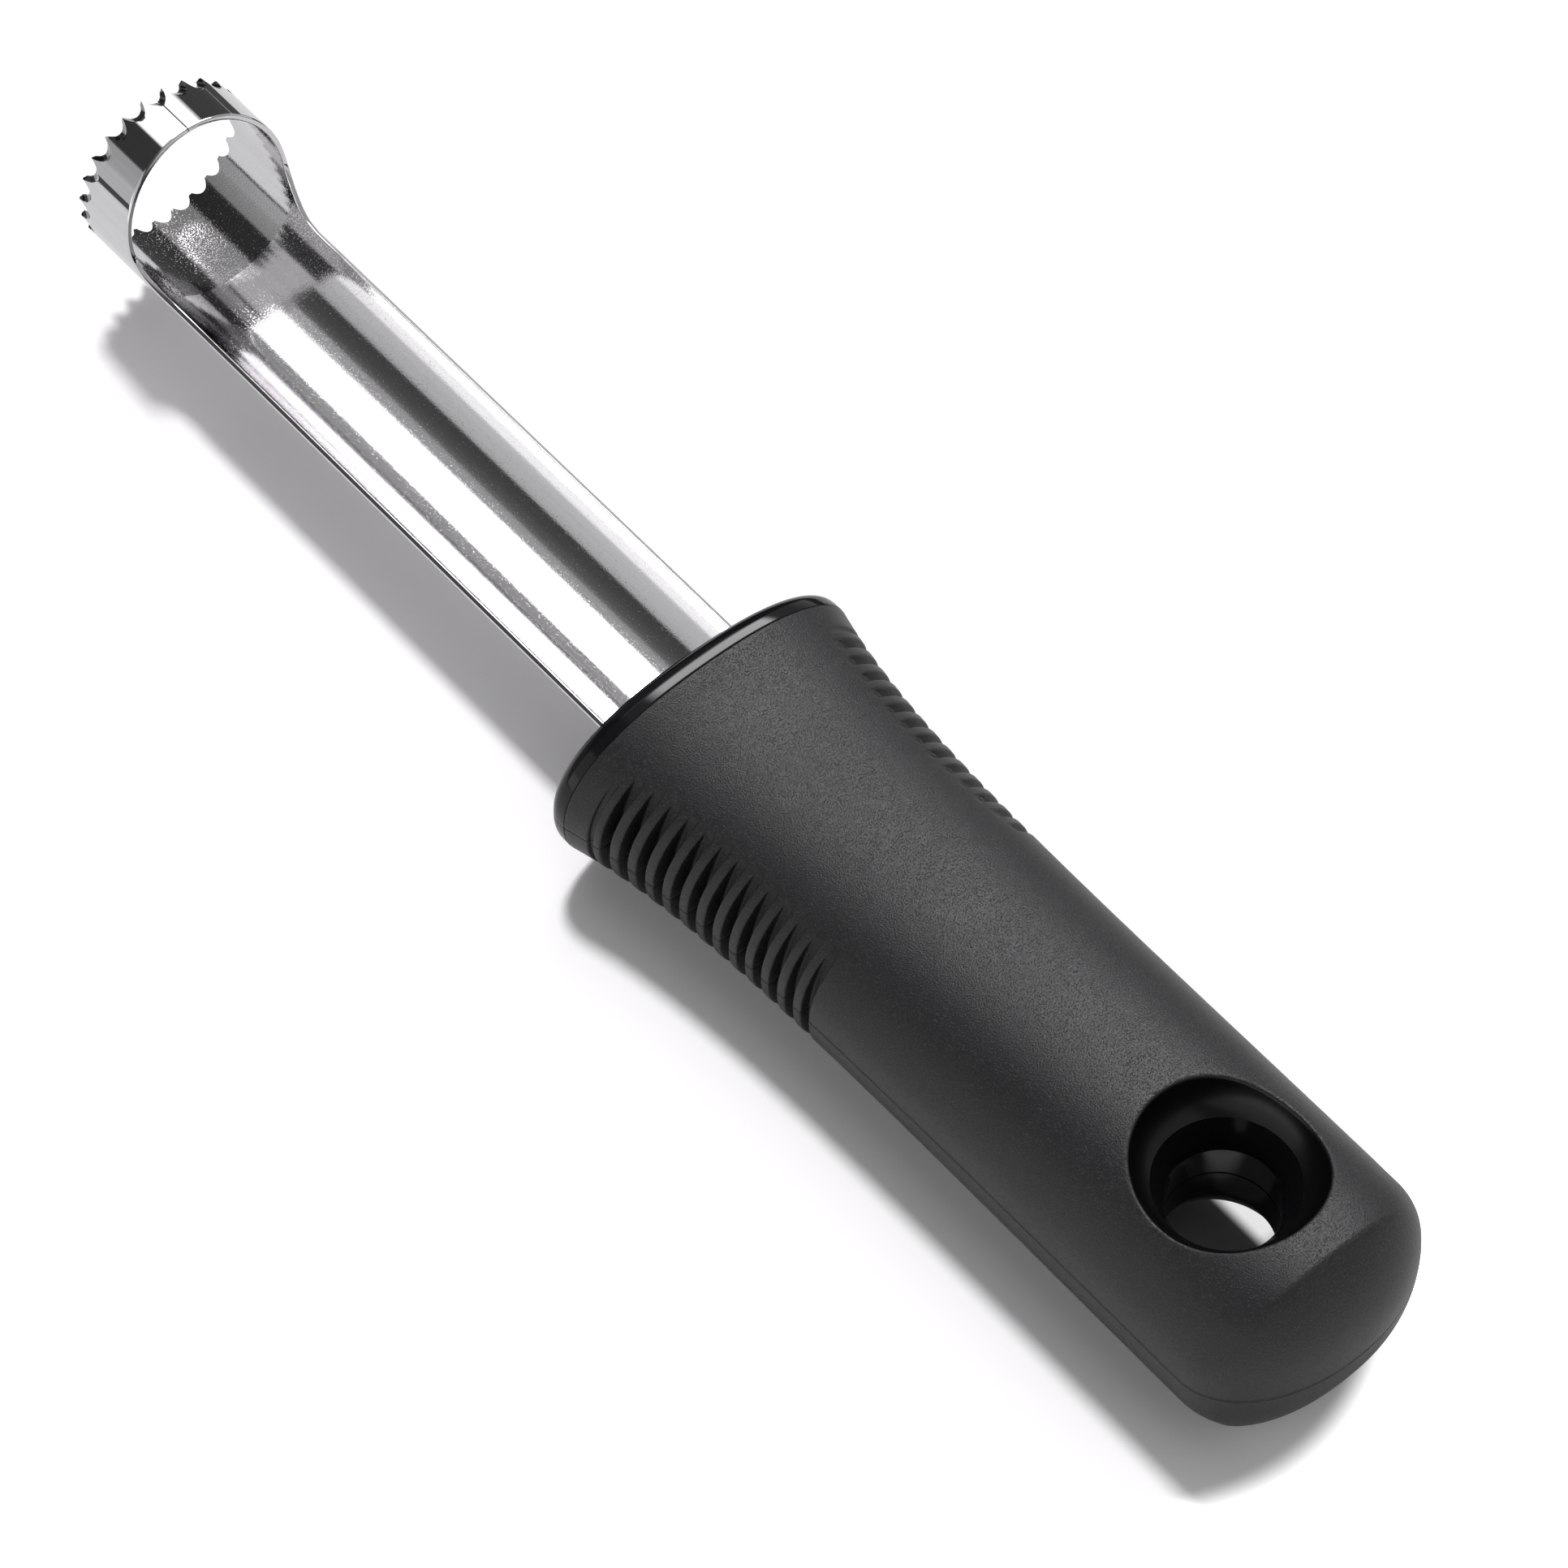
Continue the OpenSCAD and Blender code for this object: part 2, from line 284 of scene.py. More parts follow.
def grip_grid():
    """Rings of the grip's skin, with its slots, from the seam to the nose's end."""
    angle = np.arange(AROUND) * 2 * math.pi / AROUND
    bands = []

    def plain(values):
        """Whole rings at these distances, with nothing cut into them."""
        for d in values:
            bands.append((np.full(AROUND, d), np.zeros(AROUND)))

    profile = slot_profile()
    for t in np.linspace(0, math.pi / 2, 4):
        back = GRIP_SEAM_ROUND * (1 - math.cos(t))
        drop = GRIP_SEAM_ROUND * (1 - math.sin(t))
        bands.append((np.full(AROUND, back), np.full(AROUND, drop)))
    plain(np.linspace(0.7, GROOVE_FROM - GROOVE_W / 2 - 0.5, 5))
    cuts = [(GROOVE_FROM, GROOVE_W, GROOVE_DEPTH, SLOT_DEPTH)]
    for k in range(SLOTS):
        deep = SLOT_DEPTH + (SLOT_DEPTH_LAST - SLOT_DEPTH) * (k / (SLOTS - 1)) ** 2
        cuts.append((SLOT_FROM + k * SLOT_PITCH, SLOT_W, deep, deep))
    for k, (middle, width, deep, fade) in enumerate(cuts):
        y, z = section(np.full(AROUND, middle), angle)
        under = np.clip(np.hypot(y, z) - body_half_w(middle) + fade, 0, None)
        depth = under * deep / fade
        count = len(profile)
        rings = []
        for i, (kind, s) in enumerate(profile):
            offset, drop = slot_ring(kind, s, depth, width)
            even = (width / 2 + SLOT_MARGIN) * i / (count - 1)
            mix = ease(depth / SETTLE_DEPTH)
            rings.append((even + (offset - even) * mix, drop))
        for offset, drop in rings[::-1]:
            bands.append((middle - offset, drop))
        for offset, drop in rings[1:]:
            bands.append((middle + offset, drop))
        plain([middle + SLOT_PITCH / 2 if k else SLOT_FROM - 1.05])
    last = SLOT_FROM + (SLOTS - 0.5) * SLOT_PITCH
    hole_d = SEAM_X - HOLE_X
    plain(np.linspace(last, hole_d - WINDOW_HALF, 26)[1:-1])
    start = len(bands)
    plain(np.linspace(hole_d - WINDOW_HALF, hole_d + WINDOW_HALF, 45))
    stop = len(bands) - 1
    near = 0.7
    plain(np.linspace(hole_d + WINDOW_HALF, CREASE - near, 8)[1:])
    plain(np.linspace(CREASE - near + 0.1, CREASE + near, 14))
    done = math.asin(near / NOSE_LEN)
    plain(CREASE + NOSE_LEN * np.sin(np.linspace(done, math.radians(88.5), 26)[1:]))
    distance = np.array([b[0] for b in bands])
    drop = np.array([b[1] for b in bands])
    y, z = section(distance, angle[None, :])
    rho = np.hypot(y, z)
    scale = (rho - drop) / rho
    grid = np.stack([SEAM_X - distance, y * scale, PART_Z + z * scale], axis=-1)
    return grid, start, stop


def mouth_sheets(border, side):
    """Skin round a mouth of the hanging hole: from the border of its window in to the eyelet."""
    dx = border[:, 0] - HOLE_X
    dy = border[:, 1]
    azimuth = np.arctan2(dy, dx)
    cos, sin = np.cos(azimuth), np.sin(azimuth)
    first_guess = 9.6
    rim = np.full(len(border), first_guess)
    for unused in range(12):
        height = skin_height(HOLE_X + rim * cos, rim * sin)
        rim = MOUTH_CENTRE_R + np.sqrt(MOUTH_R ** 2 - (REAR_H / 2 - height) ** 2)
    rim_z = skin_height(HOLE_X + rim * cos, rim * sin)
    outer = rim + MOUTH_ROUND
    far = np.hypot(dx, dy)
    rings = []

    def ring(radius, z):
        """One more ring round the hole, at that radius and height over the parting plane."""
        z = PART_Z + side * z + 0 * cos
        rings.append(np.stack([HOLE_X + radius * cos, radius * sin, z], axis=-1))

    rings.append(border)
    for s in np.linspace(0, 1, 8)[1:]:
        radius = far + (outer - far) * s
        ring(radius, skin_height(HOLE_X + radius * cos, radius * sin))
    outer_z = skin_height(HOLE_X + outer * cos, outer * sin)
    start = np.arcsin(np.clip((REAR_H / 2 - rim_z) / MOUTH_R, 0, 1))
    inner_turn = start + MOUTH_ROUND / MOUTH_R
    inner = MOUTH_CENTRE_R + MOUTH_R * np.cos(inner_turn)
    inner_z = REAR_H / 2 - MOUTH_R * np.sin(inner_turn)
    for s in np.linspace(0, 1, 7)[1:]:
        a, b, c = (1 - s) ** 2, 2 * s * (1 - s), s ** 2
        ring(a * outer + b * rim + c * inner, a * outer_z + b * rim_z + c * inner_z)
    last_turn = math.acos((LIP_R - MOUTH_CENTRE_R) / MOUTH_R)
    for s in np.linspace(0, 1, 11)[1:]:
        turn = inner_turn + (last_turn - inner_turn) * s
        ring(MOUTH_CENTRE_R + MOUTH_R * np.cos(turn), REAR_H / 2 - MOUTH_R * np.sin(turn))
    ring(np.full(len(border), EYELET_R), REAR_H / 2 - MOUTH_R * math.sin(last_turn))
    ring(np.full(len(border), EYELET_R), 0.0)
    return sheet(np.array(rings), close=True)


def window_border(grid, start, stop, first, last):
    """Points round a rectangular window of a grid, in order."""
    top = grid[start, first:last + 1]
    right = grid[start + 1:stop + 1, last]
    bottom = grid[stop, first:last][::-1]
    left = grid[start + 1:stop, first][::-1]
    return np.concatenate([top, right, bottom, left])


def make_grip(material):
    """The soft overmould: finned flanks, bowl mouths and a creased nose."""
    grid, start, stop = grip_grid()
    points, quads = sheet(grid, close=True)
    keep = np.ones(quads.shape[:2], bool)
    keep[start:stop, WINDOW:3 * WINDOW] = False
    keep[start:stop, 5 * WINDOW:7 * WINDOW] = False
    sheets = [(points, quads[keep])]
    sheets.append(mouth_sheets(window_border(grid, start, stop, WINDOW, 3 * WINDOW), 1))
    sheets.append(mouth_sheets(window_border(grid, start, stop, 5 * WINDOW, 7 * WINDOW), -1))
    front = np.array([grid[0], np.broadcast_to([SEAM_X, 0, PART_Z], grid[0].shape)])
    back = np.array([grid[-1], np.broadcast_to([END_X, 0, PART_Z], grid[-1].shape)])
    sheets.append(sheet(front, close=True))
    sheets.append(sheet(back, close=True))
    return solid("grip", sheets, material, 60)


# Core: collar and eyelet

def make_collar(material):
    """The glossy collar, with a rounded front edge and a fine break at its seam."""
    columns = 288
    angle = np.arange(columns) * 2 * math.pi / columns
    rings = []
    for t in np.linspace(0, math.pi / 2, 15):
        inset = COLLAR_ROUND * (1 - math.sin(t))
        rings.append((FACE_X - COLLAR_ROUND * (1 - math.cos(t)), inset))
    for t in np.linspace(0, math.pi / 2, 4):
        inset = COLLAR_BREAK * (1 - math.cos(t))
        rings.append((SEAM_X + COLLAR_BREAK * (1 - math.sin(t)), inset))
    grid = []
    w, h = float(half_w(0)), float(half_h(0))
    for x, inset in rings:
        y = (w - inset) * spow(np.cos(angle), 2 / SECTION_POWER)
        z = (h - inset) * spow(np.sin(angle), 2 / SECTION_POWER)
        grid.append(np.stack([np.full(len(angle), x), y, PART_Z + z], axis=-1))
    front = np.broadcast_to([FACE_X, 0, PART_Z], grid[0].shape)
    back = np.broadcast_to([SEAM_X, 0, PART_Z], grid[0].shape)
    grid = [front] + grid + [back]
    return solid("collar", [sheet(np.array(grid), close=True)], material, 40)


def make_eyelet(material):
    """The glossy eyelet of the hanging hole, a turned profile closed on itself."""
    straight = 0.9
    reach = 0.35
    half = []
    for s in np.linspace(0, 1, 5):
        half.append((BORE_R, BORE_HALF * s * straight))
    for s in np.linspace(0, 1, 9)[1:]:
        a, b, c = (1 - s) ** 2, 2 * s * (1 - s), s ** 2
        r = a * BORE_R + b * BORE_R + c * (BORE_R + reach * (LIP_R - BORE_R))
        z = a * BORE_HALF * straight + b * BORE_HALF + c * (BORE_HALF + reach * (LIP_Z - BORE_HALF))
        half.append((r, z))
    half.append((LIP_R, LIP_Z))
    half.append((EYELET_R - EYELET_GAP, LIP_Z))
    half.append((EYELET_R - EYELET_GAP, 0))
    half = np.array(half)
    lower = half[1:-1][::-1] * [1, -1]
    profile = np.concatenate([half, lower])
    columns = 160
    angle = np.arange(columns) * 2 * math.pi / columns
    x = HOLE_X + profile[:, 0, None] * np.cos(angle)
    y = profile[:, 0, None] * np.sin(angle)
    z = PART_Z + np.broadcast_to(profile[:, 1, None], x.shape)
    grid = np.stack([x, y, z], axis=-1)
    grid = np.concatenate([grid, grid[:1]])
    return solid("eyelet", [sheet(grid, close=True)], material, 35)


# Blade

def rear_edge(rise):
    """Where the blade ends at the back of its ring, by height over the tube's axis."""
    rim_x = TIP_X - RING_LEN
    corner = rim_x - (TUBE_R - RAIL_RISE) * math.tan(RIM_LEAN)
    reach = SWEEP_R * math.tan((math.pi / 2 - RIM_LEAN) / 2)
    line = corner + (rise - RAIL_RISE) * math.tan(RIM_LEAN)
    centre_z = RAIL_RISE + SWEEP_R
    under = np.clip(SWEEP_R ** 2 - (rise - centre_z) ** 2, 0, None)
    arc = corner - reach + np.sqrt(under)
    return np.where(rise > RAIL_RISE + reach * math.cos(RIM_LEAN), line, arc)


def tooth_edge(rho, angle):
    """Front end of the steel at a radius and an angle from the top: hollow-ground scallops."""
    pitch = 2 * math.pi / TEETH
    delta = angle - pitch * np.round(angle / pitch)
    side = rho * np.sin(delta)
    bow = SCALLOP_R - np.sqrt(np.clip(SCALLOP_R ** 2 - side ** 2, 0, None))
    rise = rho * np.cos(delta) - TUBE_IN
    cut = TIP_X - SCALLOP_DEPTH + (bow - rise * math.cos(GRIND)) / math.sin(GRIND)
    return np.minimum(TIP_X, cut)


TUBE_MID = (TUBE_R + TUBE_IN) / 2
RAIL = math.acos(RAIL_RISE / TUBE_MID)
SWEEP_X = TIP_X - RING_LEN - (TUBE_R - RAIL_RISE) * math.tan(RIM_LEAN)
SWEEP_X -= SWEEP_R * math.tan((math.pi / 2 - RIM_LEAN) / 2)


def blade_angles():
    """Angles of half the blade's columns, from its top seam to its bottom: every cusp is met."""
    pitch = 360 / TEETH
    fine = np.arange(0, 180.001, pitch / TOOTH_COLUMNS)
    cusps = np.arange(pitch / 2, 180, pitch)
    near = np.concatenate([cusps + s for s in CUSP_COLUMNS])
    half = np.radians(np.concatenate([fine, near]))
    half = half[(half > 0.02) & (np.abs(half - RAIL) > 0.006)]
    ends = [math.asin(SEAM_HALF / TUBE_R), RAIL]
    return np.unique(np.round(np.concatenate([half, ends]), 9))


def place(x, rho, angle):
    """Points of the blade from their x, radius and angle from the top."""
    y = rho * np.sin(angle)
    z = rho * np.cos(angle)
    y = np.where((y < SEAM_NEAR) & (z > SEAM_ABOVE), SEAM_HALF, y)
    return np.stack(np.broadcast_arrays(x, y, BLADE_Z + z), axis=-1)


def edge_profile():
    """Cut edge of the sheet: how far each ring lies inside the cut line, and its radius."""
    rings = []
    for t in np.linspace(0, math.pi / 2, 5):
        rings.append((OUTER_ROUND * (1 - math.sin(t)), TUBE_R - OUTER_ROUND * (1 - math.cos(t))))
    for t in np.linspace(0, math.pi / 2, 5):
        rings.append((INNER_ROUND * (1 - math.cos(t)), TUBE_IN + INNER_ROUND * (1 - math.sin(t))))
    return rings


def make_blade(material):
    """Stainless blade: a trough whose tip closes into a toothed ring with a butt seam."""
    angle = blade_angles()
    ring = angle[angle <= RAIL + 1e-6]
    trough = angle[angle >= RAIL - 1e-6]
    rim = rear_edge(TUBE_MID * np.cos(ring))
    along = np.gradient(TUBE_MID * ring)
    back = np.gradient(rim)
    back[-1], along[-1] = -1.0, 0.0
    size = np.hypot(along, back)
    in_turn, in_x = -back / size / TUBE_MID, along / size
    rows = np.linspace(0, 1, 33)[:, None] ** ROW_POWER
    back_rows = np.linspace(0, 1, 30)[:, None]
    back_x = TANG_X + (SWEEP_X - TANG_X) * back_rows

    def ring_wall(off, rho):
        """Half of one side of the ring's wall, from its rear rim to its teeth."""
        turn = ring + in_turn * off * (1 - rows)
        first = rim + in_x * off
        return place(first + (tooth_edge(rho, ring) - first) * rows, rho, turn)

    def squeeze(off, amount):
        """Trough columns moved down from the rail, evenly up to the bottom."""
        share = off / TUBE_MID / (math.pi - RAIL)
        return math.pi - (math.pi - trough) * (1 - share * amount)

    def trough_wall(off, rho):
        """The same side of the wall under the ring, from the sweep's foot to the teeth."""
        turn = squeeze(off, 1 - rows)
        return place(SWEEP_X + (tooth_edge(rho, trough) - SWEEP_X) * rows, rho, turn)

    profile = edge_profile()
    sheets = []
    for off, rho in (profile[0], profile[-1]):
        sheets.append(sheet(ring_wall(off, rho)))
        sheets.append(sheet(trough_wall(off, rho)))
        sheets.append(sheet(place(back_x, rho, squeeze(off, 1 + 0 * back_x))))
    rim_rings = [place(rim + in_x * off, rho, ring + in_turn * off) for off, rho in profile]
    sheets.append(sheet(np.array(rim_rings)))
    rail_rings = [place(back_x[:, 0], rho, RAIL + off / TUBE_MID) for off, rho in profile]
    sheets.append(sheet(np.array(rail_rings)))
    ends = np.array([g[0] for g in rail_rings])
    sheets.append(sheet(np.stack([ends[:5], ends[:4:-1]], axis=1)))
    outside = place(back_x, TUBE_R, squeeze(profile[0][0], 1 + 0 * back_x))[0]
    inside = place(back_x, TUBE_IN, squeeze(profile[-1][0], 1 + 0 * back_x))[0]
    sheets.append(sheet(np.array([outside, inside])))
    seam = [ring_wall(profile[0][0], TUBE_R)[:, 0], ring_wall(profile[-1][0], TUBE_IN)[:, 0]]
    sheets.append(sheet(np.array(seam)))
    seam_end = np.array([g[0] for g in rim_rings])
    sheets.append(sheet(np.stack([seam_end[:5], seam_end[:4:-1]], axis=1)))
    rho = np.linspace(TUBE_R, TUBE_IN, 7)[:, None]
    for part in (ring, trough):
        sheets.append(sheet(place(tooth_edge(rho, part), rho, part + 0 * rho)))
    mirrored = [(points * [1, -1, 1], quads) for points, quads in sheets]
    return solid("corer_blade", sheets + mirrored, material, 32)


# Materials: positions and heights in millimetres, tones and roughness as the shader takes them

GRIP_GRAIN = 6000
GRIP_PATCH = 60
GRIP_TONES = [
    (0.3, (0.010, 0.010, 0.011)),
    (0.6, (0.016, 0.016, 0.0175)),
    (0.75, (0.04, 0.04, 0.043)),
]
GRIP_BLACK = (0.003, 0.003, 0.003, 1)
GRIP_ROUGH = [(0.3, 0.33), (0.7, 0.39)]
GRIP_GLOSS = 0.36
GRIP_LINE_HALF = 0.26
GRIP_LINE_DEPTH = 2.6
GRIP_SPARK_FROM = 0.56
GRIP_SPARK = 2.0
GRIP_BUMP = 0.06
BOWL_OUT = 0.16
BOWL_IN = 0.04
BOWL_SMOOTHER = -0.06
# Painted shade in the slots between the fins: its strength, its soft edge and the heights where it
# starts and is full
SLOT_SHADE = 0.95
SLOT_SHADE_EDGE = 0.15
SLOT_SHADE_TOP = 8.6
SLOT_SHADE_FULL = 7.2

CORE_WAVE = 120
CORE_TONES = [(0.3, (0.005, 0.005, 0.006)), (0.7, (0.007, 0.007, 0.008))]
CORE_ROUGH = [(0.3, 0.07), (0.7, 0.11)]
CORE_GLOSS = 0.3
CORE_LINE_HALF = 0.16
CORE_LINE_DEPTH = 0.1

STEEL_TONES = [(0.3, (0.607, 0.597, 0.611)), (0.7, (0.665, 0.655, 0.668))]
INSIDE_UNDER = TUBE_IN + 0.08
STREAK_SCALE = 1400
STREAK_STRETCH = (0.02, 1, 1)
STREAK_HEIGHT = 0.002
STREAK_ROUGH = 0.04
SPECK_SCALE = 5200
SPECK_HEIGHT = 0.0045
LEAST_ROUGH = 0.02
INSIDE_ROUGH = 0.015
SPARK_FROM = 0.55
SPARK_ROUGH = 1.6
SEAM_BLACK = (0.02, 0.02, 0.02, 1)
SEAM_SHADE_HALF = 0.16
# Painted shade on the ground faces of the teeth, and the radii and x where it starts and is full
GROUND_PAINTED_SHADE = (0.24, 0.235, 0.245, 1)
GROUND_UNDER = 10.47
GROUND_FULL = 10.38
GROUND_FROM = 89.3
GROUND_ALL = 89.7
PIT_X = (81.2, 84.2, 87.0, 91.2)
PIT_Y = (-3.6, -1.8, -0.2, 1.6)
PIT_FROM = 0.54
PIT_HEIGHT = 0.18
HONE_X = 81.5
HONE_SLOPE = 0.04


def new_material(name):
    """A material with its tree, its Principled shader and its object coordinates."""
    mat = bpy.data.materials.new(name)
    mat.use_nodes = True
    tree = mat.node_tree
    shader = tree.nodes["Principled BSDF"]
    coords = tree.nodes.new("ShaderNodeTexCoord")
    return mat, tree, shader, coords.outputs["Object"]


def add(tree, kind, inputs=None, **settings):
    """A node with its settings, its input values and its links."""
    node = tree.nodes.new(kind)
    for key, value in settings.items():
        setattr(node, key, value)
    for key, value in (inputs or {}).items():
        socket = node.inputs[key]
        if isinstance(value, bpy.types.NodeSocket):
            tree.links.new(value, socket)
        else:
            socket.default_value = value
    return node


def math_node(tree, operation, a, b=0.0, c=0.0, clamp=False):
    """The result of one Math node."""
    node = add(tree, "ShaderNodeMath", {0: a, 1: b, 2: c}, operation=operation, use_clamp=clamp)
    return node.outputs[0]


def product(tree, first, *others):
    """All the values multiplied."""
    result = first
    for value in others:
        result = math_node(tree, "MULTIPLY", result, value)
    return result


def excess(tree, value, level):
    """How far a value is over a level, and 0 under it."""
    return math_node(tree, "MAXIMUM", math_node(tree, "SUBTRACT", value, level), 0.0)


def between(tree, value, low, high):
    """Smooth step of a value from 0 at low to 1 at high."""
    inputs = {"Value": value, "From Min": low, "From Max": high}
    node = add(tree, "ShaderNodeMapRange", inputs, interpolation_type="SMOOTHSTEP")
    return node.outputs[0]


def window(tree, value, start, full, fade, end):
    """1 from full to fade along a coordinate, and 0 before start and past end."""
    rise = between(tree, value, start * MM, full * MM)
    fall = between(tree, value, end * MM, fade * MM)
    return product(tree, rise, fall)


def offset_from(tree, value, centre, reach):
    """1 at the centre of a coordinate, falling to 0 at that reach on either side."""
    off = math_node(tree, "ABSOLUTE", math_node(tree, "SUBTRACT", value, centre * MM))
    share = math_node(tree, "DIVIDE", off, reach * MM)
    return math_node(tree, "SUBTRACT", 1.0, share, clamp=True)


def noise(tree, coords, scale, detail=3.0, rough=0.5, stretch=(1, 1, 1)):
    """Noise of about that many waves a metre."""
    mapping = add(tree, "ShaderNodeMapping", {"Vector": coords, "Scale": stretch})
    inputs = {"Vector": mapping.outputs[0], "Scale": scale, "Detail": detail, "Roughness": rough}
    return add(tree, "ShaderNodeTexNoise", inputs).outputs["Fac"]


def ramp(tree, value, stops):
    """A colour ramp over (position, grey or colour) stops."""
    node = add(tree, "ShaderNodeValToRGB", {"Fac": value})
    points = node.color_ramp.elements
    while len(points) < len(stops):
        points.new(0.5)
    for point, (at, colour) in zip(points, stops):
        point.position = at
        if not isinstance(colour, tuple):
            colour = (colour, colour, colour)
        point.color = (*colour, 1)
    return node.outputs["Color"]


def blend(tree, factor, a, b):
    """Colour a, and colour b where the factor is 1."""
    node = add(tree, "ShaderNodeMix", {"Factor": factor, "A": a, "B": b}, data_type="RGBA")
    return node.outputs["Result"]


def bowl_mask(tree, axis):
    """1 on the smooth bowls of the hanging hole, 0 on the grained skin."""
    dx = math_node(tree, "SUBTRACT", axis.outputs["X"], HOLE_X * MM)
    y = axis.outputs["Y"]
    square = math_node(tree, "MULTIPLY_ADD", dx, dx, product(tree, y, y))
    across = math_node(tree, "SUBTRACT", math_node(tree, "SQRT", square), MOUTH_CENTRE_R * MM)
    rise = math_node(tree, "SUBTRACT", axis.outputs["Z"], PART_Z * MM)
    rise = math_node(tree, "SUBTRACT", math_node(tree, "ABSOLUTE", rise), REAR_H / 2 * MM)
    square = math_node(tree, "MULTIPLY_ADD", across, across, product(tree, rise, rise))
    reach = math_node(tree, "SQRT", square)
    return between(tree, reach, (MOUTH_R + BOWL_OUT) * MM, (MOUTH_R + BOWL_IN) * MM)


def slot_painted_shade(tree, axis):
    """Painted shade down in the slots between the fins, 0 on the skin."""
    along = math_node(tree, "SUBTRACT", (SEAM_X - SLOT_FROM) * MM, axis.outputs["X"])
    along = math_node(tree, "DIVIDE", along, SLOT_PITCH * MM)
    off = math_node(tree, "PINGPONG", along, 0.5)
    wall = SLOT_W / 2 / SLOT_PITCH
    inside = between(tree, off, wall, wall - SLOT_SHADE_EDGE / SLOT_PITCH)
    first = between(tree, along, -0.5, -0.4)
    last = between(tree, along, SLOTS - 0.5, SLOTS - 0.6)
    rise = math_node(tree, "SUBTRACT", axis.outputs["Z"], PART_Z * MM)
    rise = math_node(tree, "ABSOLUTE", rise)
    low = between(tree, rise, SLOT_SHADE_TOP * MM, SLOT_SHADE_FULL * MM)
    return product(tree, inside, first, last, low, SLOT_SHADE)


def grip_material():
    """Charcoal rubber with a fine spark grain, its parting line and painted shade in its slots."""
    mat, tree, shader, coords = new_material("soft_grip_skin")
    grain = noise(tree, coords, GRIP_GRAIN, 2.0, 0.6)
    patch = noise(tree, coords, GRIP_PATCH, 2.0, 0.5)
    axis = add(tree, "ShaderNodeSeparateXYZ", {0: coords})
    line = offset_from(tree, axis.outputs["Z"], PART_Z, GRIP_LINE_HALF)
    bowl = bowl_mask(tree, axis)
    dark = math_node(tree, "MAXIMUM", line, bowl)
    # Painted shade in the slots goes to the same black as the parting line and the bowls
    dark = math_node(tree, "MAXIMUM", dark, slot_painted_shade(tree, axis))
    shade = blend(tree, dark, ramp(tree, grain, GRIP_TONES), GRIP_BLACK)
    tree.links.new(shade, shader.inputs["Base Color"])
    rough = math_node(tree, "MULTIPLY_ADD", bowl, BOWL_SMOOTHER, ramp(tree, patch, GRIP_ROUGH))
    tree.links.new(rough, shader.inputs["Roughness"])
    shader.inputs["Specular IOR Level"].default_value = GRIP_GLOSS
    spark = excess(tree, grain, GRIP_SPARK_FROM)
    grain = math_node(tree, "MULTIPLY_ADD", spark, GRIP_SPARK, grain)
    grain = product(tree, grain, math_node(tree, "SUBTRACT", 1.0, bowl))
    height = math_node(tree, "MULTIPLY_ADD", line, -GRIP_LINE_DEPTH, grain)
    inputs = {"Height": height, "Strength": 1.0, "Distance": GRIP_BUMP * MM}
    bump = add(tree, "ShaderNodeBump", inputs)
    tree.links.new(bump.outputs[0], shader.inputs["Normal"])
    return mat


def core_material():
    """Glossy black plastic with its parting line."""
    mat, tree, shader, coords = new_material("gloss_core")
    wave = noise(tree, coords, CORE_WAVE, 1.0, 0.4)
    z = add(tree, "ShaderNodeSeparateXYZ", {0: coords}).outputs["Z"]
    line = offset_from(tree, z, PART_Z, CORE_LINE_HALF)
    tree.links.new(ramp(tree, wave, CORE_TONES), shader.inputs["Base Color"])
    tree.links.new(ramp(tree, wave, CORE_ROUGH), shader.inputs["Roughness"])
    shader.inputs["Specular IOR Level"].default_value = CORE_GLOSS
    inputs = {"Height": line, "Strength": 1.0, "Distance": -CORE_LINE_DEPTH * MM}
    bump = add(tree, "ShaderNodeBump", inputs)
    tree.links.new(bump.outputs[0], shader.inputs["Normal"])
    return mat


